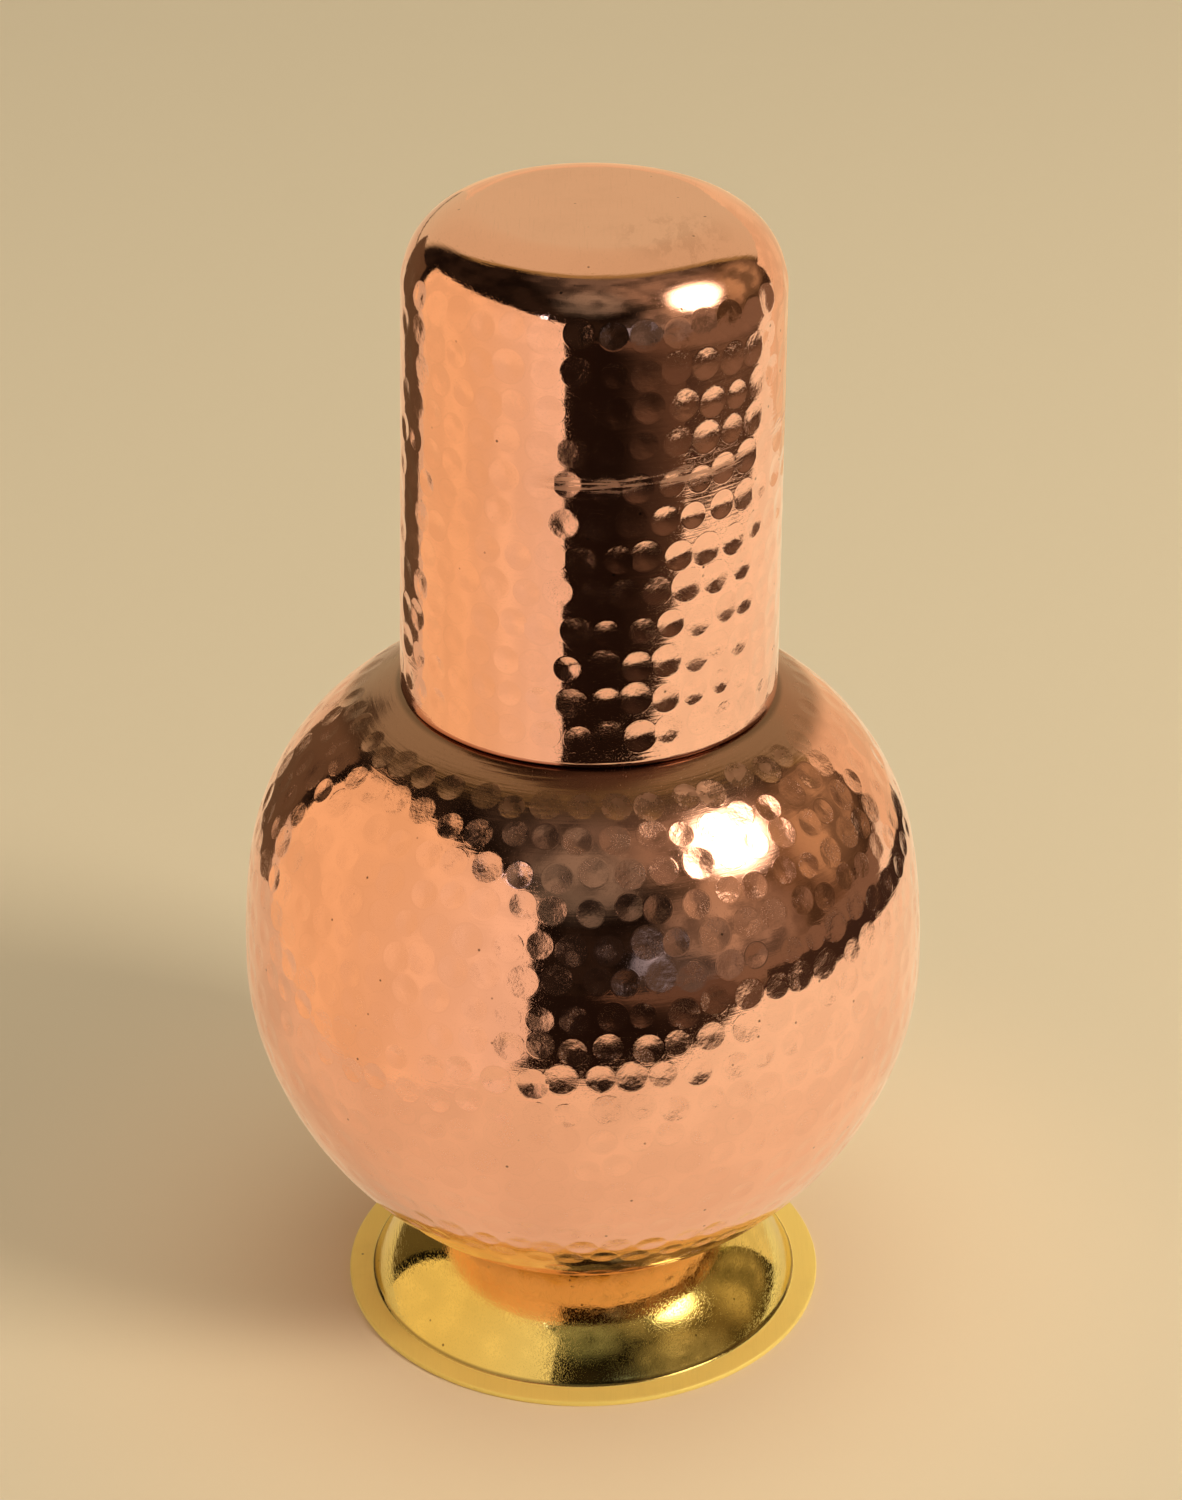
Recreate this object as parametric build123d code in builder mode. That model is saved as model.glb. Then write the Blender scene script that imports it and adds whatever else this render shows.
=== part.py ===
from build123d import *
import os
from math import asin, atan2, cos, degrees, hypot, radians, sin, sqrt

# Hammered copper bedside carafe on a spun brass foot, with its drinking tumbler upside down over
# the neck. Millimetres and degrees. The floor is z = 0 and the carafe's axis is the Z axis.

os.makedirs("parts", exist_ok=True)

# ---- Driving dimensions ----------------------------------------------------------------------

# Copper body, raised in two halves that lap inside at the belly
belly_radius = 62.5
belly_height = 72.6
body_wall = 0.9
upper_side_radius = 140.0
upper_side_angle = 8.3
shoulder_radius = 44.5
lower_side_radius = 50.2
lower_side_angle = 15.2
bowl_radius = 68.2
bowl_flat_radius = 15.0
seam_lap = 5.0
seam_clearance = 0.05

# Collar that the shoulder turns up into, which holds the neck
turn_start_radius = 30.0
collar_height = 4.0

# Neck tube, with its mouth rolled outwards over a wire
neck_radius = 21.0
neck_wall = 0.9
neck_length = 45.0
lip_wire_radius = 1.5
lip_roll_angle = 60.0

# Brazed joints
braze_gap = 0.05
neck_fillet_height = 1.5
foot_bead_radius = 0.9

# Brass foot: flat flange, and a dome that rises from it to meet the bowl
foot_radius = 45.4
flange_width = 4.7
foot_sheet = 1.0
flange_edge_radius = 0.3
foot_joint_radius = 24.0
dome_turn = 45.6

# Tumbler: a drawn cup that tapers a little towards its base
tumbler_mouth_radius = 33.9
tumbler_base_radius = 32.9
tumbler_height = 89.4
tumbler_wall = 0.9
tumbler_corner_radius = 13.9
tumbler_edge_radius = 0.3

# The tumbler stands loose on the shoulder, a little to one side of the axis
tumbler_slip = 1.1
tumbler_clearance = 0.25


# ---- Outline of the body, in section (radius, height) ------------------------------------------


def polar(center, radius, angle):
    """Point at an angle on a circle."""
    return (center[0] + radius * cos(radians(angle)), center[1] + radius * sin(radians(angle)))


upper_side_center = (belly_radius - upper_side_radius, belly_height)
shoulder_center = polar(upper_side_center, upper_side_radius - shoulder_radius, upper_side_angle)
lower_side_center = (belly_radius - lower_side_radius, belly_height)
bowl_center = polar(lower_side_center, lower_side_radius - bowl_radius, -lower_side_angle)


def shoulder_height(radius):
    """Height of the shoulder's outer face at a radius."""
    return shoulder_center[1] + sqrt(shoulder_radius**2 - (radius - shoulder_center[0]) ** 2)


def bowl_height(radius):
    """Height of the bowl's outer face at a radius."""
    return bowl_center[1] - sqrt(bowl_radius**2 - (radius - bowl_center[0]) ** 2)


# The shoulder turns up into the collar along one arc that ends upright
collar_radius = neck_radius + braze_gap + body_wall
turn_slope = degrees(asin((turn_start_radius - shoulder_center[0]) / shoulder_radius))
turn_radius = (turn_start_radius - collar_radius) / (1 - sin(radians(turn_slope)))
collar_start = shoulder_height(turn_start_radius) + turn_radius * cos(radians(turn_slope))
collar_top = collar_start + collar_height
turn_center = (collar_radius + turn_radius, collar_start)

bowl_flat_height = bowl_height(bowl_flat_radius)


def upper_outline(inset):
    """Belly to collar top, moved in from the outer face by an inset."""
    CenterArc(upper_side_center, upper_side_radius - inset, 0, upper_side_angle)
    shoulder_sweep = 90 - turn_slope - upper_side_angle
    CenterArc(shoulder_center, shoulder_radius - inset, upper_side_angle, shoulder_sweep)
    CenterArc(turn_center, turn_radius + inset, 270 - turn_slope, turn_slope - 90)
    Line((collar_radius - inset, collar_start), (collar_radius - inset, collar_top))


def lower_outline(inset):
    """Belly to the middle of the flat bottom, moved in from the outer face by an inset."""
    CenterArc(lower_side_center, lower_side_radius - inset, 0, -lower_side_angle)
    flat_height = bowl_flat_height + inset
    flat_angle = degrees(asin((bowl_center[1] - flat_height) / (bowl_radius - inset)))
    CenterArc(bowl_center, bowl_radius - inset, -lower_side_angle, lower_side_angle - flat_angle)
    Line(polar(bowl_center, bowl_radius - inset, -flat_angle), (0, flat_height))


# ---- Copper body -------------------------------------------------------------------------------

# Inner band of the upper half, set in far enough to drop inside the lower half
lap_sag = lower_side_radius - sqrt(lower_side_radius**2 - seam_lap**2)
lap_radius = belly_radius - body_wall - lap_sag - seam_clearance
lap_rise = seam_lap / 2

with BuildPart() as upper_shell:
    with BuildSketch(Plane.XZ):
        with BuildLine():
            upper_outline(0)
            upper_outline(body_wall)
            Line((belly_radius - body_wall, belly_height), (belly_radius, belly_height))
            Line((collar_radius - body_wall, collar_top), (collar_radius, collar_top))
        make_face()
    revolve(axis=Axis.Z)
    with BuildSketch(Plane.XZ):
        with BuildLine():
            Polyline(
                (lap_radius, belly_height - seam_lap),
                (lap_radius, belly_height),
                (belly_radius - body_wall / 2, belly_height),
                (belly_radius - body_wall / 2, belly_height + lap_rise),
                (lap_radius - body_wall, belly_height),
                (lap_radius - body_wall, belly_height - seam_lap),
                close=True,
            )
        make_face()
    revolve(axis=Axis.Z)

with BuildPart() as lower_shell:
    with BuildSketch(Plane.XZ):
        with BuildLine():
            lower_outline(0)
            lower_outline(body_wall)
            Line((belly_radius - body_wall, belly_height), (belly_radius, belly_height))
            Line((0, bowl_flat_height), (0, bowl_flat_height + body_wall))
        make_face()
    revolve(axis=Axis.Z)

# Space that the bowl fills, with the braze gap round it, used to seat the foot
with BuildPart() as bowl_space:
    with BuildSketch(Plane.XZ):
        with BuildLine():
            lower_outline(-braze_gap)
            Line((belly_radius + braze_gap, belly_height), (0, belly_height))
            Line((0, belly_height), (0, bowl_flat_height - braze_gap))
        make_face()
    revolve(axis=Axis.Z)

# ---- Neck --------------------------------------------------------------------------------------

roll_inner_radius = lip_wire_radius + braze_gap
roll_outer_radius = roll_inner_radius + neck_wall
wire_center = (neck_radius + roll_inner_radius, collar_top + neck_length)
neck_bore_radius = neck_radius - neck_wall
roll_sweep = 180 + lip_roll_angle

with BuildPart() as neck:
    with BuildSketch(Plane.XZ):
        with BuildLine():
            Line((neck_bore_radius, collar_start), (neck_bore_radius, wire_center[1]))
            CenterArc(wire_center, roll_outer_radius, 180, -roll_sweep)
            Line(
                polar(wire_center, roll_outer_radius, -lip_roll_angle),
                polar(wire_center, roll_inner_radius, -lip_roll_angle),
            )
            CenterArc(wire_center, roll_inner_radius, -lip_roll_angle, roll_sweep)
            Line((neck_radius, wire_center[1]), (neck_radius, collar_start))
            Line((neck_radius, collar_start), (neck_bore_radius, collar_start))
        make_face()
    revolve(axis=Axis.Z)

with BuildPart() as lip_wire:
    with BuildSketch(Plane.XZ):
        with Locations(wire_center):
            Circle(lip_wire_radius)
    revolve(axis=Axis.Z)

# Braze fillet on the collar's top edge, against the neck
with BuildPart() as neck_braze:
    with BuildSketch(Plane.XZ):
        with BuildLine():
            Polyline(
                (neck_radius, collar_top),
                (collar_radius, collar_top),
                (neck_radius, collar_top + neck_fillet_height),
                close=True,
            )
        make_face()
    revolve(axis=Axis.Z)

# ---- Brass foot --------------------------------------------------------------------------------

crease_radius = foot_radius - flange_width
foot_joint = (foot_joint_radius, bowl_height(foot_joint_radius))
bowl_slope = degrees(asin((foot_joint_radius - bowl_center[0]) / bowl_radius))

# The dome is one arc from the flange's crease to the joint on the bowl
rise_width = crease_radius - foot_joint[0]
rise_height = foot_joint[1] - foot_sheet
dome_radius = hypot(rise_width, rise_height) / (2 * sin(radians(dome_turn / 2)))
dome_start_angle = 90 - degrees(atan2(rise_height, rise_width)) - dome_turn / 2
dome_center = polar((crease_radius, foot_sheet), -dome_radius, dome_start_angle)

# The bowl cuts the dome's rim on the slant, so the arc runs on past the joint before it is trimmed
joint_angle = dome_start_angle + dome_turn
groove_angle = bowl_slope + 90 - joint_angle
rim_width = foot_sheet / sin(radians(groove_angle))
dome_end_angle = joint_angle + degrees((rim_width + foot_sheet) / dome_radius)

# Where the inner face of the dome comes down to the floor
dome_inner_radius = dome_radius - foot_sheet
dome_floor_angle = degrees(asin(-dome_center[1] / dome_inner_radius))

with BuildPart() as foot:
    with BuildSketch(Plane.XZ):
        with BuildLine():
            Polyline(
                polar(dome_center, dome_inner_radius, dome_floor_angle),
                (foot_radius, 0),
                (foot_radius, foot_sheet),
                (crease_radius, foot_sheet),
            )
            dome_sweep = dome_end_angle - dome_start_angle
            CenterArc(dome_center, dome_radius, dome_start_angle, dome_sweep)
            inner_sweep = dome_end_angle - dome_floor_angle
            CenterArc(dome_center, dome_inner_radius, dome_floor_angle, inner_sweep)
            Line(
                polar(dome_center, dome_inner_radius, dome_end_angle),
                polar(dome_center, dome_radius, dome_end_angle),
            )
        make_face()
        fillet(vertices().group_by(Axis.X)[-1], radius=flange_edge_radius)
    revolve(axis=Axis.Z)
    # The bowl trims the top of the dome
    add(bowl_space.part, mode=Mode.SUBTRACT)

# Braze bead under the bowl, in the corner that it makes with the inner edge of the foot's rim
foot_bore_radius = foot_joint_radius - rim_width * cos(radians(bowl_slope))

with BuildPart() as foot_braze:
    with BuildSketch(Plane.XZ):
        with Locations((foot_bore_radius, bowl_height(foot_bore_radius))):
            Circle(foot_bead_radius)
    revolve(axis=Axis.Z)
    add(bowl_space.part, mode=Mode.SUBTRACT)
    add(foot.part, mode=Mode.SUBTRACT)

# ---- Tumbler -----------------------------------------------------------------------------------

# Slipped to one side, the mouth leans with the shoulder until it bears all round
tumbler_bore_radius = tumbler_mouth_radius - tumbler_wall
high_side = shoulder_height(tumbler_bore_radius - tumbler_slip)
low_side = shoulder_height(tumbler_bore_radius + tumbler_slip)
tumbler_lean = asin((high_side - low_side) / (2 * tumbler_bore_radius))
tumbler_seat = (high_side + low_side) / 2 + tumbler_clearance
tumbler_origin = (tumbler_slip, 0, tumbler_seat)
tumbler_section = Plane(
    origin=tumbler_origin, x_dir=(cos(tumbler_lean), 0, -sin(tumbler_lean)), z_dir=(0, -1, 0)
)
tumbler_axis = Axis(tumbler_origin, (sin(tumbler_lean), 0, cos(tumbler_lean)))

with BuildPart() as tumbler:
    with BuildSketch(tumbler_section):
        with BuildLine():
            FilletPolyline(
                (tumbler_mouth_radius, 0),
                (tumbler_base_radius, tumbler_height),
                (0, tumbler_height),
                radius=tumbler_corner_radius,
            )
            FilletPolyline(
                (tumbler_bore_radius, 0),
                (tumbler_base_radius - tumbler_wall, tumbler_height - tumbler_wall),
                (0, tumbler_height - tumbler_wall),
                radius=tumbler_corner_radius - tumbler_wall,
            )
            Line((tumbler_bore_radius, 0), (tumbler_mouth_radius, 0))
            Line((0, tumbler_height - tumbler_wall), (0, tumbler_height))
        make_face()
        fillet(vertices().group_by(Axis.Y)[0], radius=tumbler_edge_radius)
    revolve(axis=tumbler_axis)

# ---- Export ------------------------------------------------------------------------------------

pieces = {
    "upper_shell": upper_shell,
    "lower_shell": lower_shell,
    "neck": neck,
    "lip_wire": lip_wire,
    "neck_braze": neck_braze,
    "foot": foot,
    "foot_braze": foot_braze,
    "tumbler": tumbler,
}

for name, piece in pieces.items():
    piece.part.label = name
    export_step(piece.part, f"parts/{name}.step")
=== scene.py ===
from math import acos, asin, atan2, ceil, cos, dist, hypot, pi, radians, sin, sqrt

import bpy
import numpy as np
from bpy.props import FloatProperty, FloatVectorProperty, IntProperty, PointerProperty
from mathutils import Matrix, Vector


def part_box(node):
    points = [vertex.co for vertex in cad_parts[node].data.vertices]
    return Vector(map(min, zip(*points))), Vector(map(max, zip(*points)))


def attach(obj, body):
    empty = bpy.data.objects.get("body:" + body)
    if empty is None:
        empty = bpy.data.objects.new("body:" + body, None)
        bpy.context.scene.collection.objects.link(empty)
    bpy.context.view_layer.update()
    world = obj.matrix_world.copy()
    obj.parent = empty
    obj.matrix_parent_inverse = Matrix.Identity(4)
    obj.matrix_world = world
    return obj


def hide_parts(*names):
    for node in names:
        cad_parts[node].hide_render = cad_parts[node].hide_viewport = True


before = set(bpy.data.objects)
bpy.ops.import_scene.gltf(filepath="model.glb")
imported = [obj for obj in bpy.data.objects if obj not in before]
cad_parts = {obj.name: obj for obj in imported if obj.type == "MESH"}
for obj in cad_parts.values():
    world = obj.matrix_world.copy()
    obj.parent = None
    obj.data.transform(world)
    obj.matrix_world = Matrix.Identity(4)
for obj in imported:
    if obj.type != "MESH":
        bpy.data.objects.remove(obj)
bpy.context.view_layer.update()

bl_info = {
    "name": "Hammered Copper Carafe",
    "version": (1, 0, 0),
    "blender": (4, 5, 0),
    "location": "3D View > Sidebar > Carafe",
    "description": "Makes a hammered copper bedside carafe with its tumbler, and a stage to show it on",
    "category": "Add Mesh",
}

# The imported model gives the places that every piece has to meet
BELLY_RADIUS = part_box("upper_shell")[1].x
BELLY_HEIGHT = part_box("lower_shell")[1].z
COLLAR_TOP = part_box("upper_shell")[1].z
FOOT_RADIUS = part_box("foot")[1].x

# Rows of mesh either side of a joint, and the hair's breadth that keeps its two edges apart
JOINT_ROWS = 2
JOINT_HAIR = 2e-6

# How far apart rows of mesh lie on plain faces, and on wire and small roundings
PLAIN_STEP = 0.003
ROUND_STEP = 0.0003

# Size of the round middle of a hammer mark, as a share of the mark
DISH_MIDDLE = 0.35

# A millionth of a metre, for the heights of fine relief
MICRON = 1e-6


def length(name, description, default):
    """A size in metres."""
    shown = {"precision": 5, "unit": "LENGTH", "subtype": "DISTANCE"}
    return FloatProperty(name=name, description=description, default=default, **shown)


def angle(name, description, default):
    """An angle, given in degrees and kept in radians."""
    return FloatProperty(name=name, description=description, default=radians(default), unit="ROTATION")


def colour(name, description, default):
    """A linear colour."""
    shown = {"size": 3, "min": 0.0, "max": 1.0, "subtype": "COLOR"}
    return FloatVectorProperty(name=name, description=description, default=default, **shown)


# ---- Sizes and colours ----


class CarafeBodySizes(bpy.types.PropertyGroup):
    """Copper body in two halves."""

    belly_radius: length("Belly radius", "Widest radius of the body", BELLY_RADIUS)
    belly_height: length("Belly height", "Height of the widest place", BELLY_HEIGHT)
    sheet: length("Sheet", "Thickness of the copper", 0.0009)
    upper_side_radius: length("Upper side", "Curve above the belly", 0.140)
    upper_side_angle: angle("Upper side sweep", "How far the upper side runs", 8.3)
    shoulder_radius: length("Shoulder", "Curve of the shoulder", 0.0445)
    lower_side_radius: length("Lower side", "Curve below the belly", 0.0502)
    lower_side_angle: angle("Lower side sweep", "How far the lower side runs", 15.2)
    bowl_radius: length("Bowl", "Curve of the bowl", 0.0682)
    bowl_flat_radius: length("Flat bottom", "Radius of the flat bottom", 0.015)
    lap: length("Lap", "Depth of the band inside the joint", 0.005)
    lap_radius: length("Lap radius", "Outer radius of the band inside the joint", 0.0613)
    turn_start_radius: length("Turn start", "Where the shoulder starts to turn up", 0.030)
    collar_radius: length("Collar", "Outer radius of the collar", 0.02195)
    collar_height: length("Collar height", "Straight part of the collar", 0.004)
    first_mark_radius: length("First row", "Radius of the first row of marks on the shoulder", 0.0408)
    plain_radius: length("Plain rim", "Radius inside which the shoulder isn't hammered", 0.0372)


class CarafeHammerSizes(bpy.types.PropertyGroup):
    """Hammer marks on one wall."""

    mark_radius: length("Mark radius", "Radius of one hammer mark", 0.0028)
    mark_depth: length("Mark depth", "Depth of one hammer mark", 0.000165)
    row_pitch: length("Row pitch", "Distance between rows of marks", 0.0059)
    mark_spacing: length("Mark spacing", "Distance between marks in a row", 0.0061)
    wander: length("Wander", "How far a mark strays from its row", 0.0008)
    waviness: length("Waviness", "Unevenness of the sheet", 0.00004)
    seed: IntProperty(name="Seed", description="Which arrangement of marks", default=4)


class CarafeNeckSizes(bpy.types.PropertyGroup):
    """Neck tube, wire and brazing."""

    radius: length("Neck radius", "Outer radius of the neck", 0.021)
    sheet: length("Sheet", "Thickness of the copper", 0.0009)
    height: length("Neck height", "Neck above the collar", 0.045)
    wire_radius: length("Wire radius", "Radius of the wire in the lip", 0.0015)
    braze_gap: length("Braze gap", "Gap that the brazing fills", 0.00005)
    roll_angle: angle("Roll", "How far past the level the lip is rolled", 60)
    fillet: length("Fillet", "Height of the brazed fillet", 0.0015)


class CarafeFootSizes(bpy.types.PropertyGroup):
    """Spun brass foot."""

    radius: length("Foot radius", "Outer radius of the flange", FOOT_RADIUS)
    flange_width: length("Flange width", "Width of the flat flange", 0.0047)
    sheet: length("Sheet", "Thickness of the brass", 0.001)
    edge_radius: length("Edge", "Rounding of the flange's edge", 0.0003)
    joint_radius: length("Joint radius", "Radius at which the dome meets the bowl", 0.024)
    dome_turn: angle("Dome turn", "How far the dome curves between flange and bowl", 45.6)
    bead_radius: length("Bead", "Radius of the brazed bead under the bowl", 0.0009)


class CarafeTumblerSizes(bpy.types.PropertyGroup):
    """Copper tumbler, upside down over the neck."""

    mouth_radius: length("Mouth radius", "Outer radius at the mouth", 0.0339)
    base_radius: length("Base radius", "Outer radius at the base", 0.0329)
    height: length("Height", "Height from mouth to base", 0.0894)
    sheet: length("Sheet", "Thickness of the copper", 0.0009)
    corner_radius: length("Corner", "Rounding round the base", 0.0139)
    edge_radius: length("Edge", "Rounding of the mouth's edge", 0.0003)
    slip: length("Slip", "How far the tumbler sits to one side", 0.0011)
    clearance: length("Clearance", "Gap under the mouth", 0.00025)
    first_row: length("First row", "Height of the first row of marks over the mouth", 0.0060)
    last_row: length("Last row", "Height of the last row of marks over the mouth", 0.0790)


class CarafeMetalColours(bpy.types.PropertyGroup):
    """Colours of the metals."""

    copper: colour("Copper", "Polished copper", (0.955, 0.54, 0.435))
    # Dark copper serves for wear, and also for painted shade on the marks' rims and on the shoulder round
    # and under the tumbler
    copper_dark: colour("Dark copper", "Copper dulled by handling", (0.50, 0.27, 0.19))
    brass: colour("Brass", "Polished brass", (0.86, 0.71, 0.245))
    brass_dark: colour("Dark brass", "Brass dulled by handling", (0.46, 0.34, 0.10))
    brass_flange: colour("Flange", "Satin brass of the flange", (0.87, 0.665, 0.17))
    # The pit colour serves for dirt in polishing pits, and also for painted shade round the tumbler's mouth,
    # on the shoulder, in the foot's crease and under the bowl
    pit_dirt_and_shade: colour("Pit", "Dirt in pits and grooves", (0.10, 0.06, 0.035))
    braze: colour("Braze", "Brazed joint", (0.80, 0.66, 0.38))


class CarafeStageSizes(bpy.types.PropertyGroup):
    """Floor, lamp and camera."""

    floor_colour: colour("Floor", "Colour of the floor", (0.60, 0.488, 0.317))
    lamp_power: FloatProperty(name="Lamp", description="Power of the lamp, in watts", default=36.5)
    fill_power: FloatProperty(name="Fill", description="Power of the light overhead, in watts", default=24.0)
    camera_height: length("Camera height", "Height of the camera", 0.4455)
    camera_distance: length("Camera distance", "Camera in front of the axis", 0.6184)
    camera_side: length("Camera side", "Camera to the right of the axis", 0.0015)
    camera_tilt: angle("Camera tilt", "How far the camera looks down", 28.236)
    camera_lens: FloatProperty(name="Lens", description="Focal length in millimetres", default=92.93)


class CarafeSettings(bpy.types.PropertyGroup):
    """Everything that can be changed."""

    body: PointerProperty(type=CarafeBodySizes, name="Body")
    body_marks: PointerProperty(type=CarafeHammerSizes, name="Body marks")
    neck: PointerProperty(type=CarafeNeckSizes, name="Neck")
    foot: PointerProperty(type=CarafeFootSizes, name="Foot")
    tumbler: PointerProperty(type=CarafeTumblerSizes, name="Tumbler")
    tumbler_marks: PointerProperty(type=CarafeHammerSizes, name="Tumbler marks")
    colours: PointerProperty(type=CarafeMetalColours, name="Colours")
    stage: PointerProperty(type=CarafeStageSizes, name="Stage")


# ---- Sections ----


def polar(center, radius, turn):
    """Point at an angle on a circle, as (radius, height)."""
    return (center[0] + radius * cos(turn), center[1] + radius * sin(turn))


def arc(center, radius, start, end, step):
    """Points along an arc, no further apart than the step."""
    count = max(2, ceil(abs(end - start) * radius / step) + 1)
    return [polar(center, radius, turn) for turn in np.linspace(start, end, count)]


def between(start, end, share):
    """Point part of the way from one point to another."""
    return (start[0] + (end[0] - start[0]) * share, start[1] + (end[1] - start[1]) * share)


def line(start, end, step):
    """Points along a straight run, no further apart than the step."""
    count = max(2, ceil(dist(start, end) / step) + 1)
    return [between(start, end, share) for share in np.linspace(0, 1, count)]


def join(*runs):
    """One line from several, without the points that two of them share."""
    points = []
    for run in runs:
        for point in run:
            if not points or dist(point, points[-1]) > JOINT_HAIR / 20:
                points.append(point)
    return points


class BodyShape:
    """Centres and turning points of the body's outer line."""

    def __init__(self, sizes):
        self.sizes = sizes
        reach = sizes.upper_side_radius - sizes.shoulder_radius
        self.upper_side = (sizes.belly_radius - sizes.upper_side_radius, sizes.belly_height)
        self.shoulder = polar(self.upper_side, reach, sizes.upper_side_angle)
        reach = sizes.lower_side_radius - sizes.bowl_radius
        self.lower_side = (sizes.belly_radius - sizes.lower_side_radius, sizes.belly_height)
        self.bowl = polar(self.lower_side, reach, -sizes.lower_side_angle)
        self.turn_slope = asin((sizes.turn_start_radius - self.shoulder[0]) / sizes.shoulder_radius)
        self.turn_radius = (sizes.turn_start_radius - sizes.collar_radius) / (1 - sin(self.turn_slope))
        rise = self.turn_radius * cos(self.turn_slope)
        self.collar_start = self.shoulder_height(sizes.turn_start_radius) + rise
        self.turn = (sizes.collar_radius + self.turn_radius, self.collar_start)
        self.flat_height = self.bowl_height(sizes.bowl_flat_radius)

    def shoulder_height(self, radius):
        """Height of the shoulder's outer face at a radius."""
        return self.shoulder[1] + sqrt(self.sizes.shoulder_radius**2 - (radius - self.shoulder[0]) ** 2)

    def bowl_height(self, radius):
        """Height of the bowl's outer face at a radius."""
        return self.bowl[1] - sqrt(self.sizes.bowl_radius**2 - (radius - self.bowl[0]) ** 2)

    def upper_side_line(self, inset, step):
        """From the belly up the side."""
        sizes = self.sizes
        return arc(self.upper_side, sizes.upper_side_radius - inset, 0, sizes.upper_side_angle, step)

    def shoulder_line(self, inset, start, end, step):
        """Part of the shoulder, between two angles."""
        return arc(self.shoulder, self.sizes.shoulder_radius - inset, start, end, step)

    def collar_line(self, inset, step):
        """Shoulder's turn and the collar."""
        radius = self.sizes.collar_radius - inset
        turn = arc(self.turn, self.turn_radius + inset, 1.5 * pi - self.turn_slope, pi, step)
        top = self.collar_start + self.sizes.collar_height
        return join(turn, line((radius, self.collar_start), (radius, top), step))

    def lower_line(self, inset, step):
        """From the belly down to the edge of the flat bottom."""
        sizes = self.sizes
        side = arc(self.lower_side, sizes.lower_side_radius - inset, 0, -sizes.lower_side_angle, step)
        radius = sizes.bowl_radius - inset
        flat = asin((self.bowl[1] - self.flat_height - inset) / radius)
        return join(side, arc(self.bowl, radius, -sizes.lower_side_angle, -flat, step))

    def shoulder_angle(self, radius):
        """Angle on the shoulder at a radius."""
        return acos((radius - self.shoulder[0]) / self.sizes.shoulder_radius)

    def mark_line(self):
        """Line that the rows of marks follow, from the shoulder down to the flat bottom."""
        step = 0.0005
        sizes = self.sizes
        first = self.shoulder_angle(sizes.first_mark_radius)
        shoulder = self.shoulder_line(0, sizes.upper_side_angle, first, step)
        upper = join(self.upper_side_line(0, step), shoulder)
        return join(upper[::-1], self.lower_line(0, step))


# What a row of mesh is: hammered or not, kept or only there for its neighbours, and the first or
# last edge of a joint or neither
PLAIN, CLOSING, CLOSING_BACK = (0.0, 0.0, 0.0), (0.0, 0.0, 1.0), (0.0, 0.0, 2.0)
HAMMERED, JOINT, JOINT_BACK, SPARE = (1.0, 0.0, 0.0), (1.0, 0.0, 1.0), (1.0, 0.0, 2.0), (1.0, 1.0, 0.0)


def rows(*runs):
    """Rows of mesh, from pairs of points and the kind of row that they make."""
    return [(point, kind) for points, kind in runs for point in points]


def closed(points):
    """A closed ring of plain rows, whose last row meets the first."""
    back = between(points[0], points[-1], JOINT_HAIR / dist(points[0], points[-1]))
    return rows((points[:1], CLOSING), (points[1:], PLAIN), ([back], CLOSING_BACK))


def spare_rows(center, radius, step):
    """Points past a joint, on the other half's side."""
    return [polar(center, radius, row * step / radius) for row in range(1, JOINT_ROWS + 1)]


def upper_section(shape, step):
    """Upper half: up the outside, over the collar's edge, down the inside and round the lap."""
    sizes = shape.sizes
    wide = 1.4 * PLAIN_STEP
    stop = shape.shoulder_angle(sizes.plain_radius)
    start, end = sizes.upper_side_angle, pi / 2 - shape.turn_slope
    spare = spare_rows(shape.lower_side, sizes.lower_side_radius, -step)[::-1]
    hammered = join(shape.upper_side_line(0, step), shape.shoulder_line(0, start, stop, step))
    plain = join(shape.shoulder_line(0, stop, end, 0.0015), shape.collar_line(0, 0.002))
    inside = join(
        shape.collar_line(sizes.sheet, PLAIN_STEP)[::-1],
        shape.shoulder_line(sizes.sheet, end, start, wide),
        shape.upper_side_line(sizes.sheet, wide)[::-1][:-1],
    )
    lap_inner = sizes.lap_radius - sizes.sheet
    height = sizes.belly_height
    lap = [
        (sizes.belly_radius - sizes.sheet, height + 2 * sizes.sheet),
        (lap_inner, height),
        (lap_inner, height - sizes.lap),
        (sizes.lap_radius, height - sizes.lap),
        (sizes.lap_radius, height),
    ]
    inside = [point for point in inside if point[1] > height + 3 * sizes.sheet]
    back = [(sizes.belly_radius - JOINT_HAIR, height)]
    return rows(
        (spare, SPARE), (hammered[:1], JOINT), (hammered[1:], HAMMERED),
        (plain[1:], PLAIN), (inside, PLAIN), (lap, PLAIN), (back, JOINT_BACK),
    )


def lower_section(shape, step):
    """Lower half: from the middle of the flat bottom up the outside, then down the inside."""
    sizes = shape.sizes
    outside = shape.lower_line(0, step)[::-1]
    spare = spare_rows(shape.upper_side, sizes.upper_side_radius, step)
    inside = shape.lower_line(sizes.sheet, PLAIN_STEP)
    flat = line((0, shape.flat_height), outside[0], 0.004)
    inner_height = shape.flat_height + sizes.sheet
    inner_flat = line(inside[-1], (0, inner_height), 0.005)
    back = [(sizes.belly_radius - JOINT_HAIR, sizes.belly_height)]
    return rows(
        (flat[:-1], PLAIN), (outside[:-1], HAMMERED), (outside[-1:], JOINT), (spare, SPARE),
        (back, JOINT_BACK), (inside, PLAIN), (inner_flat[1:], PLAIN),
    )


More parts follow.
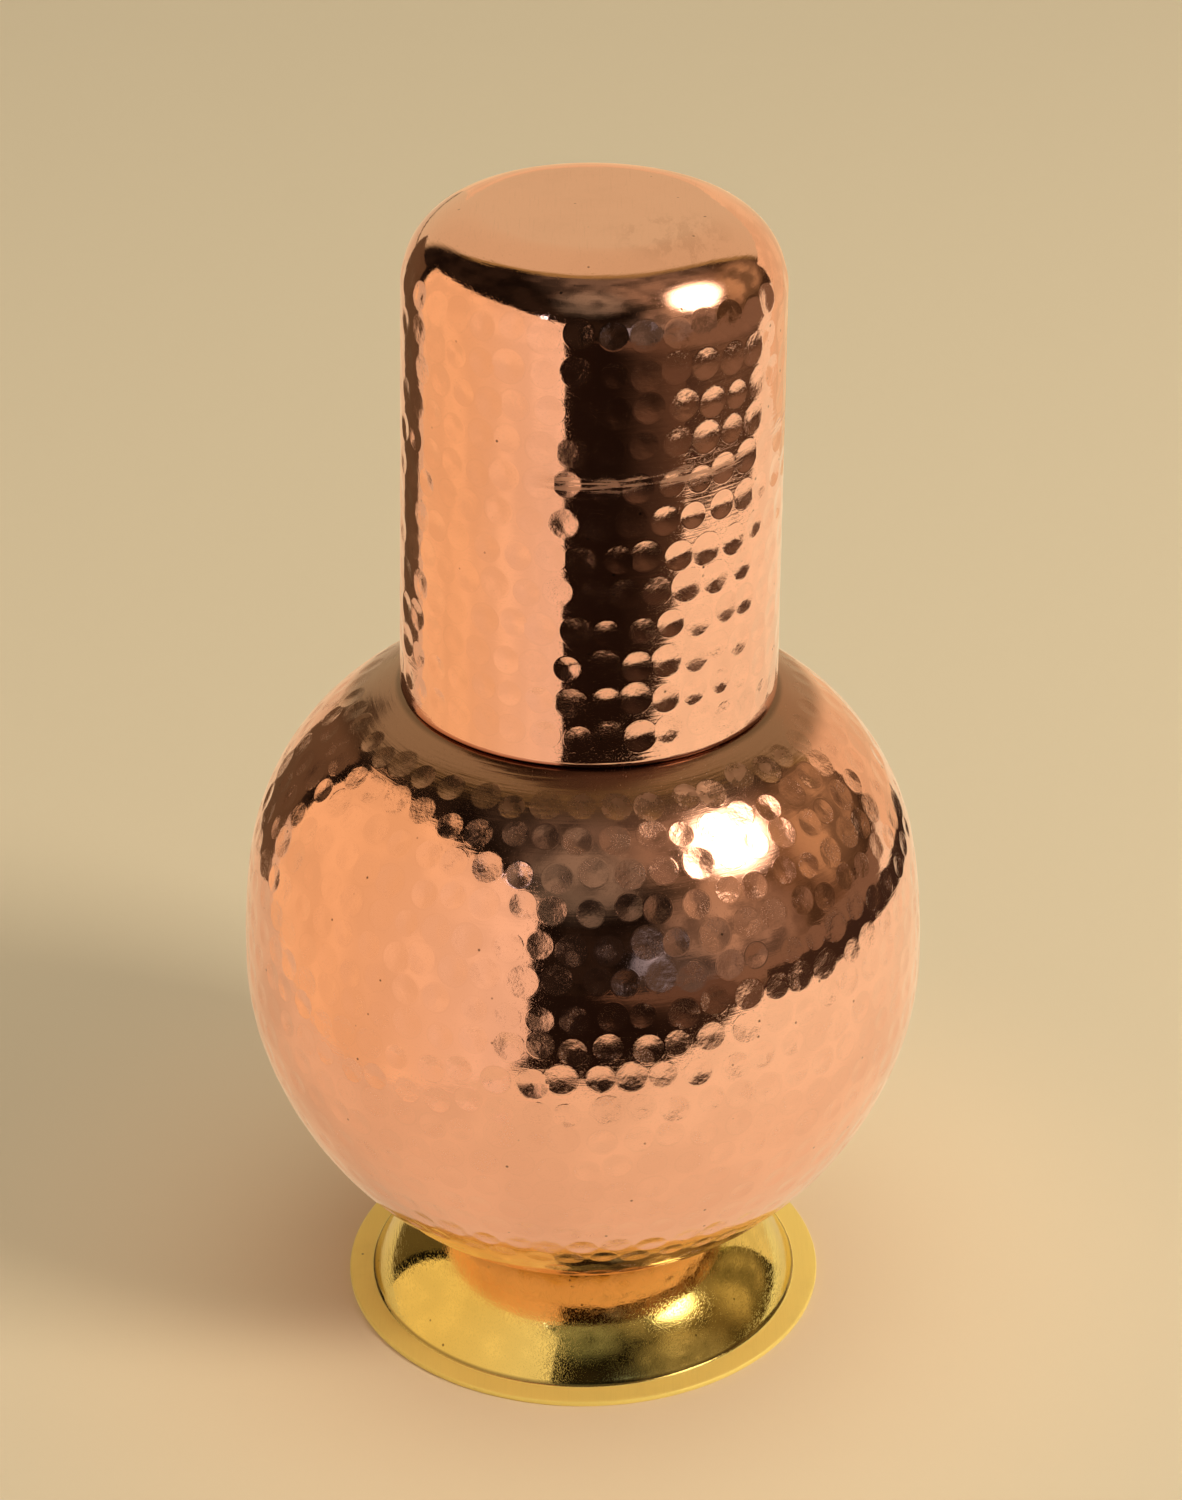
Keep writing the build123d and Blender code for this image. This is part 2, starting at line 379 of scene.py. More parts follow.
def tumbler_section(sizes, step):
    """Tumbler: down the inside, round the mouth, up the outside, and over to the middle of the base."""
    taper = (sizes.mouth_radius - sizes.base_radius) / sizes.height
    tilt = asin(taper)

    def wall(inset, corner, height, spacing):
        """Half of the tumbler's section, from the mouth to the middle of the base."""
        # The corner touches the wall and the base, so its centre is a corner radius away from both
        center_height = height - corner
        center_radius = sizes.mouth_radius - inset - taper * center_height - corner / cos(tilt)
        center = (center_radius, center_height)
        return (
            line((sizes.mouth_radius - inset, 0), polar(center, corner, tilt), spacing),
            arc(center, corner, tilt, pi / 2, min(spacing * 1.3, 0.0012)),
            line((center_radius, height), (0, height), PLAIN_STEP),
        )

    sheet, edge = sizes.sheet, sizes.edge_radius
    outer_wall, outer_corner, base = wall(0, sizes.corner_radius, sizes.height, step)
    inner_wall, inner_corner, floor = wall(sheet, sizes.corner_radius - sheet, sizes.height - sheet, 0.0035)
    inner_edge = arc((sizes.mouth_radius - sheet + edge, edge), edge, pi, 1.5 * pi, 0.0002)
    outer_edge = arc((sizes.mouth_radius - edge, edge), edge, -pi / 2, 0, 0.0002)
    inside = join(inner_wall, inner_corner[::2] + inner_corner[-1:], floor)[::-1]
    outside = [point for point in join(outer_wall, outer_corner) if point[1] > 2 * edge]
    inside = [point for point in inside if point[1] > 2 * edge]
    mouth = join(inner_edge, outer_edge)
    return rows((inside, PLAIN), (mouth, PLAIN), (outside, HAMMERED), (base[1:], PLAIN))


def tumbler_mark_line(sizes):
    """Line that the tumbler's rows of marks follow."""
    mouth, base = (sizes.mouth_radius, 0), (sizes.base_radius, sizes.height)
    ends = [between(mouth, base, row / sizes.height) for row in (sizes.first_row, sizes.last_row)]
    return line(*ends, 0.0005)


def tumbler_seat(shape, sizes):
    """Where the loose tumbler stands on the shoulder, and how far it leans."""
    bore = sizes.mouth_radius - sizes.sheet
    high = shape.shoulder_height(bore - sizes.slip)
    low = shape.shoulder_height(bore + sizes.slip)
    return Vector((sizes.slip, 0, (high + low) / 2 + sizes.clearance)), asin((high - low) / (2 * bore))


def neck_section(sizes, shape):
    """Neck tube with its mouth rolled over the wire."""
    bore = sizes.radius - sizes.sheet
    inner = sizes.wire_radius + sizes.braze_gap
    outer = inner + sizes.sheet
    bottom = shape.collar_start
    center = (sizes.radius + inner, bottom + shape.sizes.collar_height + sizes.height)
    cut = -sizes.roll_angle
    return closed(join(
        line((bore, bottom), (sizes.radius, bottom), PLAIN_STEP / 3),
        line((sizes.radius, bottom), (sizes.radius, center[1]), PLAIN_STEP),
        arc(center, inner, pi, cut, ROUND_STEP),
        arc(center, outer, cut, pi, ROUND_STEP),
        line((bore, center[1]), (bore, bottom + PLAIN_STEP / 3), PLAIN_STEP),
    ))


def ring_section(center, radius):
    """Round wire bent into a ring."""
    return closed(arc(center, radius, -pi, 0.95 * pi, ROUND_STEP))


def neck_braze_section(sizes, shape):
    """Fillet between the collar's edge and the neck, hollow as melted metal sets."""
    width = shape.sizes.collar_radius - sizes.radius
    shares = ((0, 0), (1, 0), (0.5875, 0.25), (0.2575, 0.58), (0, 1), (0, 0.5))
    return closed([(sizes.radius + out * width, COLLAR_TOP + up * sizes.fillet) for out, up in shares])


class FootShape:
    """Centres and turning points of the foot's outer line, whose dome meets the bowl."""

    def __init__(self, sizes, body, gap):
        self.sizes = sizes
        self.crease = sizes.radius - sizes.flange_width
        width = self.crease - sizes.joint_radius
        height = body.bowl_height(sizes.joint_radius) - sizes.sheet
        self.radius = hypot(width, height) / (2 * sin(sizes.dome_turn / 2))
        self.start = pi / 2 - atan2(height, width) - sizes.dome_turn / 2
        self.center = polar((self.crease, sizes.sheet), -self.radius, self.start)
        self.bowl = (body.bowl, body.sizes.bowl_radius + gap)
        self.rim = self.under_bowl(0)
        self.inner_rim = self.under_bowl(sizes.sheet)

    def under_bowl(self, inset):
        """Angle on the dome, moved in from the outer face by an inset, at which it meets the bowl."""
        bowl, reach = self.bowl
        radius = self.radius - inset
        across, up = bowl[0] - self.center[0], bowl[1] - self.center[1]
        apart = hypot(across, up)
        return atan2(up, across) - acos((apart**2 + radius**2 - reach**2) / (2 * apart * radius))

    def on_dome(self, inset, turn):
        """Point on the dome, moved in from the outer face by an inset."""
        return polar(self.center, self.radius - inset, turn)


def foot_section(foot):
    """Foot: along the floor, round the flange's edge, up the dome, over its rim and down the inside."""
    sizes = foot.sizes
    edge = sizes.edge_radius
    floor_angle = asin(-foot.center[1] / (foot.radius - sizes.sheet))
    rim, inner_rim = foot.on_dome(0, foot.rim), foot.on_dome(sizes.sheet, foot.inner_rim)
    crease_round, round_step = 0.0004, 0.0001
    outside = arc(foot.center, foot.radius, foot.start, foot.rim, 0.0005)
    inside = arc(foot.center, foot.radius - sizes.sheet, foot.inner_rim, floor_angle, 0.0015)
    return closed(join(
        line(foot.on_dome(sizes.sheet, floor_angle), (sizes.radius - edge, 0), 0.002),
        arc((sizes.radius - edge, edge), edge, -pi / 2, 0, round_step),
        arc((sizes.radius - edge, sizes.sheet - edge), edge, 0, pi / 2, round_step),
        line((sizes.radius - edge, sizes.sheet), (foot.crease + crease_round, sizes.sheet), 0.001),
        [(foot.crease + crease_round / 3, sizes.sheet + crease_round / 10)],
        [point for point in outside if point[0] < foot.crease - crease_round / 3],
        line(rim, inner_rim, 0.0006),
        inside[:-1],
    ))


def foot_braze_section(foot):
    """Bead in the corner between the bowl and the inside of the foot."""
    radius = foot.sizes.bead_radius
    corner = foot.on_dome(foot.sizes.sheet, foot.inner_rim)
    bowl, reach = foot.bowl
    along_bowl = atan2(corner[1] - bowl[1], corner[0] - bowl[0]) - pi / 2
    along_dome = foot.inner_rim - pi / 2
    edge = 0.02
    start, end = along_bowl + edge - 2 * pi, along_dome - edge - 2 * pi
    end = end + 2 * pi if end < start else end
    return closed([corner, *arc(corner, radius, start, end, ROUND_STEP)])

# ---- Node helpers ----


def sum_of(operation, swapped=False):
    """A method that works out a sum in a node."""
    def method(self, other=0.0):
        return self.bench.math(operation, *((other, self) if swapped else (self, other)))

    return method


class Value:
    """What comes out of a node. Sums are written with it as with a plain number."""

    def __init__(self, bench, socket):
        self.bench = bench
        self.socket = socket

    __add__ = __radd__ = sum_of("ADD")
    __mul__ = __rmul__ = sum_of("MULTIPLY")
    __sub__ = sum_of("SUBTRACT")
    __rsub__ = sum_of("SUBTRACT", swapped=True)
    __truediv__ = sum_of("DIVIDE")
    __rtruediv__ = sum_of("DIVIDE", swapped=True)
    __mod__ = sum_of("MODULO")
    __gt__ = sum_of("GREATER_THAN")
    __abs__ = sum_of("ABSOLUTE")


class NodeBench:
    """Adds nodes to one tree and joins them up."""

    def __init__(self, tree):
        self.tree = tree

    def add(self, kind, inputs=None, **settings):
        """A node with its settings and inputs, where an input is plain or comes out of another node."""
        node = self.tree.nodes.new(kind)
        for name, value in settings.items():
            setattr(node, name, value)
        for key, value in (inputs or {}).items():
            if isinstance(value, Value):
                self.tree.links.new(value.socket, node.inputs[key])
            else:
                node.inputs[key].default_value = value
        return node

    def out(self, kind, inputs=None, output=0, **settings):
        """What one output of a new node gives."""
        return Value(self, self.add(kind, inputs, **settings).outputs[output])

    def math(self, operation, *values):
        """Result of a sum on numbers."""
        return self.out("ShaderNodeMath", dict(enumerate(values)), operation=operation)

    def vector(self, operation, *values):
        """Result of a sum on vectors. A length or a dot product comes out as a number."""
        output = "Value" if operation in ("LENGTH", "DOT_PRODUCT", "DISTANCE") else "Vector"
        return self.out("ShaderNodeVectorMath", dict(enumerate(values)), output, operation=operation)

    def xyz(self, x=0.0, y=0.0, z=0.0):
        """A vector from three numbers."""
        return self.out("ShaderNodeCombineXYZ", {0: x, 1: y, 2: z})

    def parts(self, vector):
        """The three numbers of a vector."""
        return [Value(self, socket) for socket in self.add("ShaderNodeSeparateXYZ", {0: vector}).outputs]

    def times(self, vector, amount):
        """A vector made longer or shorter."""
        return self.out("ShaderNodeVectorMath", {0: vector, "Scale": amount}, operation="SCALE")

    def choose(self, test, first, second):
        """The second vector where the test holds, and the first elsewhere."""
        return self.out("GeometryNodeSwitch", {0: test, 1: first, 2: second}, input_type="VECTOR")

    def dish(self, square):
        """Depth of a mark as a share of its deepest, from the square of the way out to its rim.

        The middle is round and the side nearly straight: sqrt(1 + c^2) - sqrt(s^2 + c^2), made 1 at s = 0.
        """
        soft = DISH_MIDDLE**2
        whole = sqrt(1 + soft)
        return (whole - self.math("SQRT", square + soft)) / (whole - DISH_MIDDLE)

    def ramp(self, value, low, high, to_low=0.0, to_high=1.0):
        """A value taken smoothly from one range to another, and held at the ends."""
        inputs = {0: value, 1: low, 2: high, 3: to_low, 4: to_high}
        return self.out("ShaderNodeMapRange", inputs, interpolation_type="SMOOTHSTEP", clamp=True)

    def mix(self, factor, first, second, blend="MIX"):
        """Two colours mixed."""
        inputs = {0: factor, 6: first, 7: second}
        for key in (6, 7):
            if not isinstance(inputs[key], Value):
                inputs[key] = (*inputs[key], 1.0)
        return self.out("ShaderNodeMix", inputs, 2, data_type="RGBA", blend_type=blend)

    def by_ray(self, kind, others, these):
        """One shader for a kind of ray, and another for all others."""
        ray = self.out("ShaderNodeLightPath", output=f"Is {kind} Ray")
        return self.out("ShaderNodeMixShader", {0: ray, 1: others, 2: these})


# ---- Turned and hammered sheet ----

# What the tree is given, by kind of socket
SHEET_INPUTS = {
    "Int": ("Columns", "Seed"),
    "Object": ("Mark line",),
    "Float": ("Mark radius", "Mark depth", "Row pitch", "Mark spacing", "Wander", "Waviness", "Lean"),
    "Vector": ("Seat",),
    "Material": ("Material",),
}
HAMMER_INPUTS = ("Mark radius", "Mark depth", "Row pitch", "Mark spacing", "Wander", "Waviness", "Seed")

# Stand-in sizes for a piece that isn't hammered
NO_HAMMER = {"Mark radius": 0.001, "Mark depth": 0.0001, "Row pitch": 1.0, "Mark spacing": 1.0}

# The marks are looked through in this many sets, and the deepest of the nearest ones counts
MARK_SETS = 3


def sheet_tree():
    """Turns a section round the upright axis, and hammers it with rows of round marks."""
    name = "Turned and hammered sheet"
    if name in bpy.data.node_groups:
        return bpy.data.node_groups[name]
    tree = bpy.data.node_groups.new(name, "GeometryNodeTree")
    tree.is_modifier = True
    for direction in ("INPUT", "OUTPUT"):
        tree.interface.new_socket(name="Geometry", in_out=direction, socket_type="NodeSocketGeometry")
    for kind, titles in SHEET_INPUTS.items():
        for title in titles:
            tree.interface.new_socket(name=title, in_out="INPUT", socket_type="NodeSocket" + kind)
    bench = NodeBench(tree)
    given = {socket.name: Value(bench, socket) for socket in bench.add("NodeGroupInput").outputs}
    position, index, normal, tangent = (
        bench.out("GeometryNodeInput" + field) for field in ("Position", "Index", "Normal", "Tangent")
    )

    def random(low, high, seed_step):
        """A random number for each element."""
        inputs = {2: low, 3: high, "Seed": given["Seed"] + seed_step}
        return bench.out("FunctionNodeRandomValue", inputs, 1, data_type="FLOAT")

    def stored(title, kind="FLOAT_VECTOR"):
        """A stored attribute."""
        return bench.out("GeometryNodeInputNamedAttribute", {"Name": title}, data_type=kind)

    def store(geometry, title, value, kind="FLOAT_VECTOR", domain="POINT"):
        """Stores an attribute on every point or corner."""
        inputs = {"Geometry": geometry, "Name": title, "Value": value}
        return bench.out("GeometryNodeStoreNamedAttribute", inputs, data_type=kind, domain=domain)

    def sample(geometry, value, element):
        """A value of another geometry at one of its points."""
        inputs = {"Geometry": geometry, "Value": value, "Index": element}
        return bench.out("GeometryNodeSampleIndex", inputs, data_type="FLOAT_VECTOR", domain="POINT")

    def move(geometry, **inputs):
        """Moves points to a Position or by an Offset."""
        return bench.out("GeometryNodeSetPosition", {"Geometry": geometry, **inputs})

    def resample(curve, spacing):
        """A curve with its points at an even spacing."""
        return bench.out("GeometryNodeResampleCurve", {"Curve": curve, "Length": spacing}, mode="LENGTH")

    def one_for_face(value):
        """A value taken once for a whole face."""
        return bench.out("GeometryNodeFieldOnDomain", {0: value}, data_type="FLOAT_VECTOR", domain="FACE")

    # A grid of columns round the axis and rows along the section
    row_count = bench.out("GeometryNodeAttributeDomainSize", {0: given["Geometry"]}, "Point Count")
    inputs = {"Vertices X": given["Columns"] + 1, "Vertices Y": row_count}
    grid = bench.out("GeometryNodeMeshGrid", inputs, "Mesh")
    row = index % row_count
    column = bench.math("FLOOR", (index + 0.5) / row_count)
    radius, _, height = bench.parts(sample(given["Geometry"], position, row))
    turn = column / given["Columns"] * (2 * pi)
    around = bench.xyz(radius * bench.math("COSINE", turn), radius * bench.math("SINE", turn), height)
    grid = store(grid, "row_kind", sample(given["Geometry"], stored("row_kind"), row))
    inputs = {"Geometry": move(grid, Position=around), "Distance": JOINT_HAIR / 4}
    plain = bench.out("GeometryNodeMergeByDistance", inputs)

    # Rings of marks along the mark line, each ring turned at random
    inputs = {"Object": given["Mark line"]}
    marks = bench.out("GeometryNodeObjectInfo", inputs, "Geometry", transform_space="ORIGINAL")
    marks = resample(bench.out("GeometryNodeMeshToCurve", {0: marks}), given["Row pitch"])
    marks = store(marks, "ring_radius", bench.parts(position)[0], "FLOAT")
    marks = store(marks, "down_the_wall", tangent)
    ring_radius = stored("ring_radius", "FLOAT")
    inputs = {
        "Points": move(marks, Position=bench.xyz(z=bench.parts(position)[2])),
        "Instance": bench.out("GeometryNodeCurvePrimitiveCircle", {"Resolution": 360, "Radius": 1.0}),
        "Scale": bench.xyz(ring_radius, ring_radius, 1.0),
        "Rotation": bench.xyz(z=random(0.0, 2 * pi, 1)),
    }
    rings = bench.out("GeometryNodeInstanceOnPoints", inputs)
    rings = resample(bench.out("GeometryNodeRealizeInstances", {0: rings}), given["Mark spacing"])
    points = bench.out("GeometryNodeCurveToPoints", {"Curve": rings}, mode="EVALUATED")

    # Each mark strays a little along the wall, up or down and sideways
    across, deep, _ = bench.parts(position)
    outward = bench.vector("NORMALIZE", bench.xyz(across, deep))
    sideways = bench.vector("CROSS_PRODUCT", (0, 0, 1), outward)
    down_out, _, down_up = bench.parts(stored("down_the_wall"))
    down = bench.vector("ADD", bench.times(outward, down_out), bench.xyz(z=down_up))
    strays = (bench.times(down, random(-1.0, 1.0, 2)), bench.times(sideways, random(-1.0, 1.0, 5)))
    points = move(points, Offset=bench.times(bench.vector("ADD", *strays), given["Wander"]))
    wide = given["Mark radius"] * random(0.86, 1.12, 3)
    points = store(points, "mark_size", bench.xyz(wide, given["Mark depth"] * random(0.45, 1.30, 4)))

    # The sheet is uneven before it is hammered. The last edge of a joint moves outwards with the first.
    hammered, spare, joint = bench.parts(stored("row_kind"))
    facing = bench.choose(joint > 1.5, normal, outward)
    noise = bench.out("ShaderNodeTexNoise", {"Vector": position, "Scale": 70.0, "Detail": 1.0})
    plain = move(plain, Offset=bench.times(facing, (noise - 0.5) * given["Waviness"] * 2.0))

    # The deepest of the marks close by: its centre, size and depth here
    depth, centre, size = -1.0, (0, 0, 0), (1, 0, 0)
    for number in range(MARK_SETS):
        inputs = {2: index % MARK_SETS, 3: number}
        in_set = bench.out("FunctionNodeCompare", inputs, data_type="INT", operation="EQUAL")
        inputs = {"Geometry": points, "Selection": in_set}
        chosen = bench.out("GeometryNodeSeparateGeometry", inputs, domain="POINT")
        near = bench.out("GeometryNodeSampleNearest", {0: chosen}, domain="POINT")
        its_centre, its_size = (sample(chosen, value, near) for value in (position, stored("mark_size")))
        its_radius, its_depth, _ = bench.parts(its_size)
        share = bench.vector("DISTANCE", position, its_centre) / its_radius
        its_depth = bench.dish(share * share) * its_depth
        deeper = its_depth > depth
        centre = bench.choose(deeper, centre, its_centre)
        size = bench.choose(deeper, size, its_size)
        depth = bench.math("MAXIMUM", depth, its_depth)

    # The shader draws each mark from the way to its centre, which stays exact inside a face
    mark_radius, mark_depth, _ = bench.parts(one_for_face(size))
    way = bench.vector("SUBTRACT", position, one_for_face(centre))
    shown = mark_depth * bench.parts(one_for_face(stored("row_kind")))[0]
    worked = store(plain, "mark_way", bench.times(way, 1.0 / mark_radius), domain="CORNER")
    worked = store(worked, "mark_depth", shown, "FLOAT", "CORNER")
    worked = store(worked, "kept_normal", facing)
    dent = bench.math("MAXIMUM", depth, 0.0) * hammered * -1.0
    worked = move(worked, Offset=bench.times(facing, dent))
    turn = bench.xyz(y=given["Lean"])
    inputs = {"Vector": stored("kept_normal"), "Rotation": turn}
    turned = bench.out("ShaderNodeVectorRotate", inputs, rotation_type="EULER_XYZ")
    inputs = {"Geometry": worked, "Translation": given["Seat"], "Rotation": turn}
    worked = bench.out("GeometryNodeTransform", inputs)

    # Normals are kept from before the spare rows go, so that a joint doesn't show
    worked = store(worked, "kept_normal", bench.choose(joint > 1.5, turned, (0, 0, 0)))
    inputs = {"Geometry": worked, "Selection": spare > 0.5}
    worked = bench.out("GeometryNodeDeleteGeometry", inputs, domain="POINT")
    inputs = {"Geometry": worked, "Selection": joint > 0.5, "Distance": JOINT_HAIR * 3}
    worked = bench.out("GeometryNodeMergeByDistance", inputs)
    worked = bench.out("GeometryNodeSetShadeSmooth", {"Geometry": worked}, domain="FACE")
    worked = bench.out("GeometryNodeRealizeInstances", {0: worked})
    worked = bench.out("GeometryNodeSetMaterial", {"Geometry": worked, "Material": given["Material"]})
    bench.add("NodeGroupOutput", {0: worked})
    return tree


def new_object(name, data):
    """An object in the scene that shows a mesh, a light or a camera."""
    item = bpy.data.objects.new(name, data)
    bpy.context.scene.collection.objects.link(item)
    return item


def line_mesh(name, points):
    """A chain of points joined by edges, in the plane of the section."""
    mesh = bpy.data.meshes.new(name)
    vertices = [(point[0], 0.0, point[1]) for point in points]
    mesh.from_pydata(vertices, [(n, n + 1) for n in range(len(points) - 1)], [])
    return mesh


def turned_piece(name, section, columns, material, marks=None, mark_line=(), seat=(0, 0, 0), lean=0.0):
    """A piece of sheet turned from its section, and hammered where the section says so."""
    mesh = line_mesh(name, [point for point, kind in section])
    kinds = mesh.attributes.new("row_kind", "FLOAT_VECTOR", "POINT")
    kinds.data.foreach_set("vector", np.array([kind for point, kind in section], np.float32).ravel())
    piece = new_object(name, mesh)
    guide = new_object(name + "_guide", line_mesh(name + "_guide", mark_line))
    values = {"Columns": columns, "Mark line": guide, "Material": material, "Seat": seat, "Lean": lean}
    values.update(NO_HAMMER)
    if marks:
        values.update({title: getattr(marks, title.lower().replace(" ", "_")) for title in HAMMER_INPUTS})
    modifier = piece.modifiers.new("Turned and hammered sheet", "NODES")
    modifier.node_group = sheet_tree()
    for socket in modifier.node_group.interface.items_tree:
        if socket.in_out == "INPUT" and socket.name in values:
            modifier[socket.identifier] = values[socket.name]
    graph = bpy.context.evaluated_depsgraph_get()
    made = bpy.data.meshes.new_from_object(piece.evaluated_get(graph), depsgraph=graph)
    piece.modifiers.remove(modifier)
    piece.data = made
    made.name = name
    bpy.data.objects.remove(guide)
    if not made.polygons:
        raise RuntimeError(f"{name} came out empty")
    normals = np.zeros(len(made.vertices) * 3, np.float32)
    made.attributes["kept_normal"].data.foreach_get("vector", normals)
    normals = normals.reshape(-1, 3)
    lengths = np.linalg.norm(normals, axis=1, keepdims=True)
    made.normals_split_custom_set_from_vertices(normals / np.where(lengths > 1e-9, lengths, 1))
    spent = ("kept_normal", "row_kind") if marks else ("kept_normal", "row_kind", "mark_way", "mark_depth")
    for title in spent:
        made.attributes.remove(made.attributes[title])
    return piece


def finish_piece(piece, body, slot, *nodes):
    """Hangs a finished piece on its body and hides the imported parts that it replaces."""
    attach(piece, body)
    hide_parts(*nodes)


# ---- Metals ----


class MaterialBench(NodeBench):
    """Builds one new material."""

    def __init__(self, name):
        self.material = bpy.data.materials.new(name)
        self.material.use_nodes = True
        super().__init__(self.material.node_tree)
        self.tree.nodes.clear()
        self.coordinates = self.out("ShaderNodeTexCoord", output="Object")

    def finish(self, shader):
        """Makes a shader the material's surface."""
        self.add("ShaderNodeOutputMaterial", {"Surface": shader})
        return self.material


class MetalBench(MaterialBench):
    """Builds one metal from wear and tool marks laid over each other."""

    def __init__(self, name, centre=(0, 0, 0)):
        super().__init__(name)
        self.place = self.vector("SUBTRACT", self.coordinates, tuple(centre))
        self.across, self.deep, self.height = self.parts(self.place)
        self.radius = self.math("SQRT", self.across * self.across + self.deep * self.deep)

    def noise(self, scale, detail=2.0, rough=0.5, vector=None):
        """Even noise."""
        inputs = {"Vector": vector or self.place, "Scale": scale, "Detail": detail, "Roughness": rough}
        return self.out("ShaderNodeTexNoise", inputs)

    def scratches(self, low=0.60, high=0.78):
        """Fine scratches in several directions."""
        found = 0.0
        for number, turn in enumerate(((0.3, 0.2, 0.5), (1.3, 0.7, 2.1), (0.5, 2.4, 1.2), (2.2, 1.1, 0.1))):
            inputs = {"Vector": self.place, "Rotation": turn, "Scale": (3400, 120, 3400)}
            turned = self.out("ShaderNodeMapping", inputs)
            inputs = {"Vector": turned, "Scale": 1.0, "Detail": 2.0, "W": number * 3.7}
            streak = self.out("ShaderNodeTexNoise", inputs, noise_dimensions="4D")
            found = self.math("MAXIMUM", found, self.ramp(streak, low, high))
        return found

    def specks(self, scale, rare):
        """Pits left by polishing."""
        cells = self.add("ShaderNodeTexVoronoi", {"Vector": self.place, "Scale": scale, "Randomness": 1.0})
        away, chance = (Value(self, cells.outputs[output]) for output in ("Distance", "Color"))
        return self.ramp(away, 0.16, 0.05) * self.ramp(self.parts(chance)[0], rare, rare + 0.02)

    def dulled(self, scale=38.0, least=0.48):
        """Places dulled by handling."""
        return self.ramp(self.noise(scale, 6.0, 0.65), least, 0.74)

    def polishing_lines(self, fineness=2600.0, length=110.0):
        """Fine lines that run round the axis."""
        vector = self.xyz(self.radius * fineness, self.height * fineness, self.across * length)
        inputs = {"Vector": vector, "W": self.deep * length, "Scale": 1.0, "Detail": 3.0}
        return self.out("ShaderNodeTexNoise", inputs, noise_dimensions="4D")

    def relief(self, *layers):
        """The sum of pairs of a pattern and the amount that it stands for."""
        total = 0.0
        for pattern, amount in layers:
            total = self.math("MULTIPLY_ADD", pattern, amount, total)
        return total

    def tinted(self, tint, *layers):
        """A colour with others laid over it, from pairs of a share and a colour."""
        for share, over in layers:
            tint = self.mix(share, tint, over)
        return tint

    def metal(self, tint, rough, height, metallic=1.0):
        """Joins the surface up to a metal shader. The height is in metres."""
        normal = self.out("ShaderNodeBump", {"Height": height, "Strength": 1.0, "Distance": 1.0})
        surface = {"Base Color": tint, "Roughness": rough, "Metallic": metallic, "Normal": normal}
        return self.finish(self.out("ShaderNodeBsdfPrincipled", surface))


